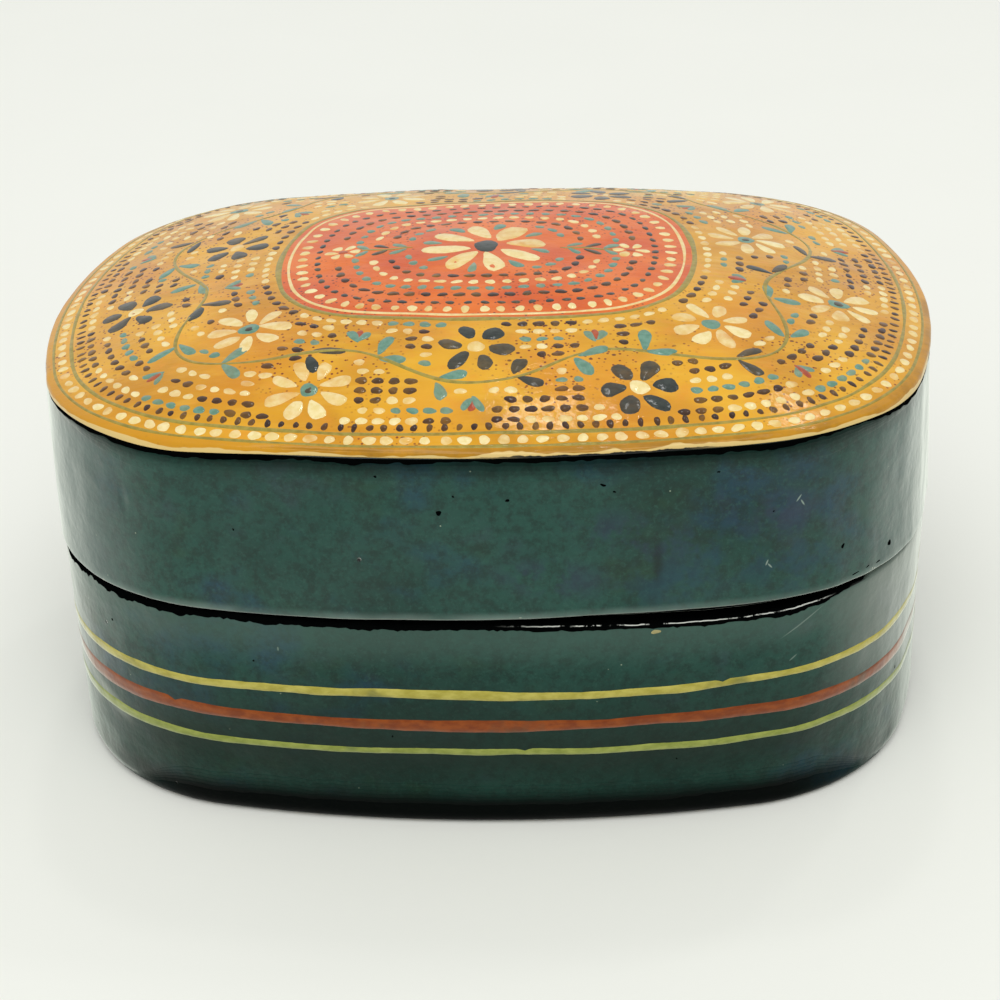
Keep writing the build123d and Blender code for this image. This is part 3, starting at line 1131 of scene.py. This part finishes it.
def cap_paint():
    """Ochre top with a red medallion and specks, a pale line along the lip's foot that is part wear and part
    painted highlight, painted shadow along the lip's foot on a stretch of the front, and black within.
    """
    paint = Paint("painted_top", **VARNISH)
    ochre_ground(paint)
    share = paint.field("share")
    hem = paint.math("MULTIPLY_ADD", paint.noise(3, 3, 0.6), 0.012, MEDALLION - 0.006)
    inner = paint.band(paint.math("SUBTRACT", hem, share), -0.002, 0.002)
    red_cloud = paint.cloud(9, 3, 0.6, 0.3, 0.7, stretch=(0.6, 1, 1, 0.11))
    paint.over(paint.mix(red_cloud, (202, 78, 8), (224, 112, 18)), inner)
    patches = paint.cloud(17, 2, 0.5, 0.38, 0.6, stretch=(1, 1, 1, 0.77))
    paint.over((112, 38, 12), paint.dots(0.8, 0.13, 0.22), patches)
    flecks = paint.dots(2.9, 0.2, 0.36, stretch=(1, 1.3, 1, 0.9))
    paint.over((92, 40, 14), flecks, patches)
    paint.over((196, 136, 10), paint.band(share, 0.978, 0.992, 0, 0.7))
    deep = paint.times(paint.band(share, 0.98, 0.996), paint.along(0, -30, -12, 0, 0.8), paint.front)
    paint.over(paint.mix(paint.cloud(4, 3, 0.6, 0.35, 0.65), (154, 108, 2), (186, 130, 10)), deep)
    # A stretch of the front where the lip's foot climbs and takes painted shadow
    marked_stretch = paint.times(paint.along(0, -6, 8), paint.along(0, 26, 36, 1, 0), paint.front)
    climb = paint.times(marked_stretch, 0.4 * MM)

    def below(size, low, high, lowest, highest, weight):
        """A mask of what lies lower than a height over the lid wall that wanders and climbs."""
        reach = paint.cloud(size, 3, 0.6, low, high, (LID_TOP + lowest) * MM, (LID_TOP + highest) * MM)
        over = paint.math("SUBTRACT", paint.math("ADD", reach, climb), paint.axis(2))
        return paint.band(over, -0.04 * MM, 0.04 * MM, 0, weight)

    # A pale line along the lip's foot: part wear, part painted highlight
    paint.over((222, 196, 128), below(9, 0.3, 0.65, 0.05, 0.65, 0.85))
    # Painted shadow: near-black along the lip's foot on that stretch
    paint.over((4, 6, 5), below(2.2, 0.3, 0.7, -0.1, 0.14, 1), marked_stretch)
    paint.over((9, 9, 9), paint.field("inside"))
    return varnished(paint, paint.cloud(6, 2, 0.5, 0.3, 0.7, 0.3, 0.42))


def mark_paint(name, deep, pale, thin):
    """A paint of the marks, through which the ground shows where the brush left it thin."""
    paint = Paint(name, **VARNISH)
    ochre_ground(paint)
    ground_colour = paint.colour
    paint.colour = paint.mix(paint.cloud(1.0, 3, 0.6, 0.3, 0.7), deep, pale)
    body = paint.band(paint.field("body"), 0.0, 1.0, 0.0, thin)
    patch = paint.cloud(1.6, 2, 0.5, 0.3, 0.75, 0.4, 1.3, (1, 1, 1, 0.3))
    paint.over(ground_colour, paint.math("MULTIPLY", body, patch, clamp=True))
    return varnished(paint, MARK_ROUGHNESS)


def line_paint(name, deep, pale, fade_from):
    """A stripe's paint, thinner in places so that the green shows, and faded at the front towards the ends,
    as thin paint and as painted reflection of the grazing gloss.
    """
    paint = lacquer(name)
    paint.colour = paint.mix(paint.cloud(2.2, 3, 0.6, 0.3, 0.7, stretch=(1, 1, 2)), deep, pale)
    paint.over((34, 66, 52), paint.cloud(9, 3, 0.7, 0.58, 0.72, 0, 0.4, (1, 1, 1, 0.2)))
    # Faded at the front towards the ends: thin paint, and painted reflection of the grazing gloss
    paint.over((44, 66, 56), paint.outward(fade_from, fade_from + 5, 0, 0.45), paint.front)
    return lacquered(paint, 0.0, LINE_GLOSS)


def dull_paint(name, low, high, size, grain, specular=0.0, glinting=False):
    """Dull grainy paint which, where it glints, carries a painted highlight: a broken bright line along the
    rim.
    """
    paint = Paint(name, Specular_IOR_Level=specular)
    paint.colour = paint.mix(paint.noise(size, 3, 0.6), low, high)
    if glinting:
        # Painted highlight: a broken bright line along the rim's rounded edge, on the right of the front
        marked_stretch = paint.cloud(4, 5, 0.75, 0.44, 0.5, stretch=(1, 1, 1, 0.2))
        on_right = paint.times(paint.along(0, 2, 10), paint.along(0, 44, 47, 1, 0))
        wander = paint.cloud(2.4, 3, 0.6, 0.3, 0.7, -0.05, 0.05, (1, 1, 1, 0.5))
        drop = paint.math("ADD", paint.field("drop"), wander)
        line = paint.times(paint.band(drop, 0.12, 0.15), paint.band(drop, 0.22, 0.26, 1, 0))
        paint.over((206, 208, 200), line, marked_stretch, on_right)
    return paint.done(DULL, paint.bump(paint.noise(grain), 0.03))


def assign(material, *pieces):
    """Puts one material on the whole of each piece."""
    for piece in pieces:
        piece.data.materials.clear()
        piece.data.materials.append(material)


assign(black_paint(), collar, base_floor)
assign(base_paint(), base_wall)
assign(lid_paint(), lid_wall)
assign(cap_paint(), lid_cap)
assign(line_paint("stripe_yellow", (158, 148, 56), (184, 174, 84), 57), upper_stripe)
assign(line_paint("stripe_pale_yellow", (122, 132, 54), (148, 156, 76), 56), lower_stripe)
assign(line_paint("stripe_red", (114, 48, 8), (140, 68, 16), 56), middle_stripe)
EDGING = ((1, 2, 2), (6, 7, 7), 2, 1.2)
assign(dull_paint("black_edging", *EDGING), lid_pits, base_pits, cap_line)
assign(dull_paint("black_rim", *EDGING, glinting=True), rim_paint)
assign(dull_paint("cream_fleck", (132, 124, 84), (176, 168, 116), 0.5, 0.4, 0.2), base_fleck)
HEAD_SHEENS = [1.0, 0.84, 0.62, 0.32]
HEAD_GLOSSES = [0.3, 0.2, 0.08, 0.0]
for step, (piece, sheen, gloss) in enumerate(zip(head_films, HEAD_SHEENS, HEAD_GLOSSES)):
    assign(head_paint(f"green_head_{step + 1}", sheen, gloss), piece)
FOOT_SHEENS = [0.68, 0.56, 0.44, 0.3, 0.16, 0.0]
for step, (piece, sheen) in enumerate(zip(foot_films, FOOT_SHEENS)):
    assign(foot_paint(f"green_foot_{step + 1}", sheen, 0.04 - 0.007 * step), piece)
for (colour, looks), piece in zip(MARK_COLOURS.items(), mark_pieces):
    assign(mark_paint(colour + "_paint", *looks), piece)

# Floor, in metres
REACH = 6.0
floor_mesh = bpy.data.meshes.new("studio_floor")
floor_corners = [(-REACH, -REACH, 0), (REACH, -REACH, 0), (REACH, REACH, 0), (-REACH, REACH, 0)]
floor_mesh.from_pydata(floor_corners, [], [(0, 1, 2, 3)])
studio_floor = bpy.data.objects.new("studio_floor", floor_mesh)
bpy.context.scene.collection.objects.link(studio_floor)
paper = Paint("studio_paper", Specular_IOR_Level=0.1)
paper.colour = paper.mix(paper.noise(60, 2, 0.5), (237, 238, 230), (240, 241, 233))
PAPER_ROUGHNESS = 0.9
assign(paper.done(PAPER_ROUGHNESS, paper.bump(paper.noise(2), 0.02)), studio_floor)

# World and lamps, in metres
SKY_LIGHT = 0.72
SKY_SEEN = 0.95
world = bpy.data.worlds.new("studio")
bpy.context.scene.world = world
world.use_nodes = True
sky = Nodes(world.node_tree)
rays = sky.node("LightPath").outputs
seen = sky.math("MAXIMUM", rays["Is Camera Ray"], rays["Is Glossy Ray"])
seen = sky.math("MAXIMUM", seen, rays["Is Transmission Ray"])
background = world.node_tree.nodes["Background"]
background.inputs["Color"].default_value = srgb(250, 251, 252)
strength = sky.node("MapRange", seen, 0, 1, SKY_LIGHT, SKY_SEEN).outputs[0]
sky.feed(background.inputs["Strength"], strength)


def lamp(name, place_at, target, size, power):
    """A square or long soft lamp, turned to face a point."""
    light = bpy.data.lights.new(name, "AREA")
    light.shape = "RECTANGLE"
    light.size, light.size_y = size
    light.energy = power
    holder = bpy.data.objects.new(name, light)
    holder.location = place_at
    holder.rotation_euler = (Vector(target) - Vector(place_at)).to_track_quat("-Z", "Y").to_euler()
    bpy.context.scene.collection.objects.link(holder)


lamp("softbox", (0.0, -0.9, 1.5), (0, 0, 0.03), (1.4, 1.4), 14.5)
lamp("window_left", (0.01, 0.64, 1.5), (0, 0, 0.05), (0.11, 0.13), 1.0)
lamp("window_right", (0.5, 0.79, 1.5), (0, 0, 0.05), (0.1, 0.12), 0.8)

# Camera, fitted to the photograph
AZIMUTH = radians(3.548)
ELEVATION = radians(28.50)
ROLL = radians(-2.107)
DISTANCE = 305.44 * MM
TARGET = Vector((0.69, -1.02, 25.0)) * MM
LENS = 72.7
SENSOR = 36.0
CLIP = (0.01, 50.0)
back = Vector((sin(AZIMUTH) * cos(ELEVATION), -cos(AZIMUTH) * cos(ELEVATION), sin(ELEVATION)))
right = (-back).cross(Vector((0, 0, 1))).normalized()
up = right.cross(-back)
rolled_right = right * cos(ROLL) + up * sin(ROLL)
rolled_up = -right * sin(ROLL) + up * cos(ROLL)
lens = bpy.data.cameras.new("camera")
lens.lens = LENS
lens.sensor_width = SENSOR
lens.clip_start, lens.clip_end = CLIP
camera = bpy.data.objects.new("camera", lens)
axes = Matrix((rolled_right, rolled_up, back)).transposed().to_4x4()
camera.matrix_world = Matrix.Translation(TARGET + back * DISTANCE) @ axes
bpy.context.scene.collection.objects.link(camera)
bpy.context.scene.camera = camera
bpy.context.scene.view_settings.view_transform = "Standard"
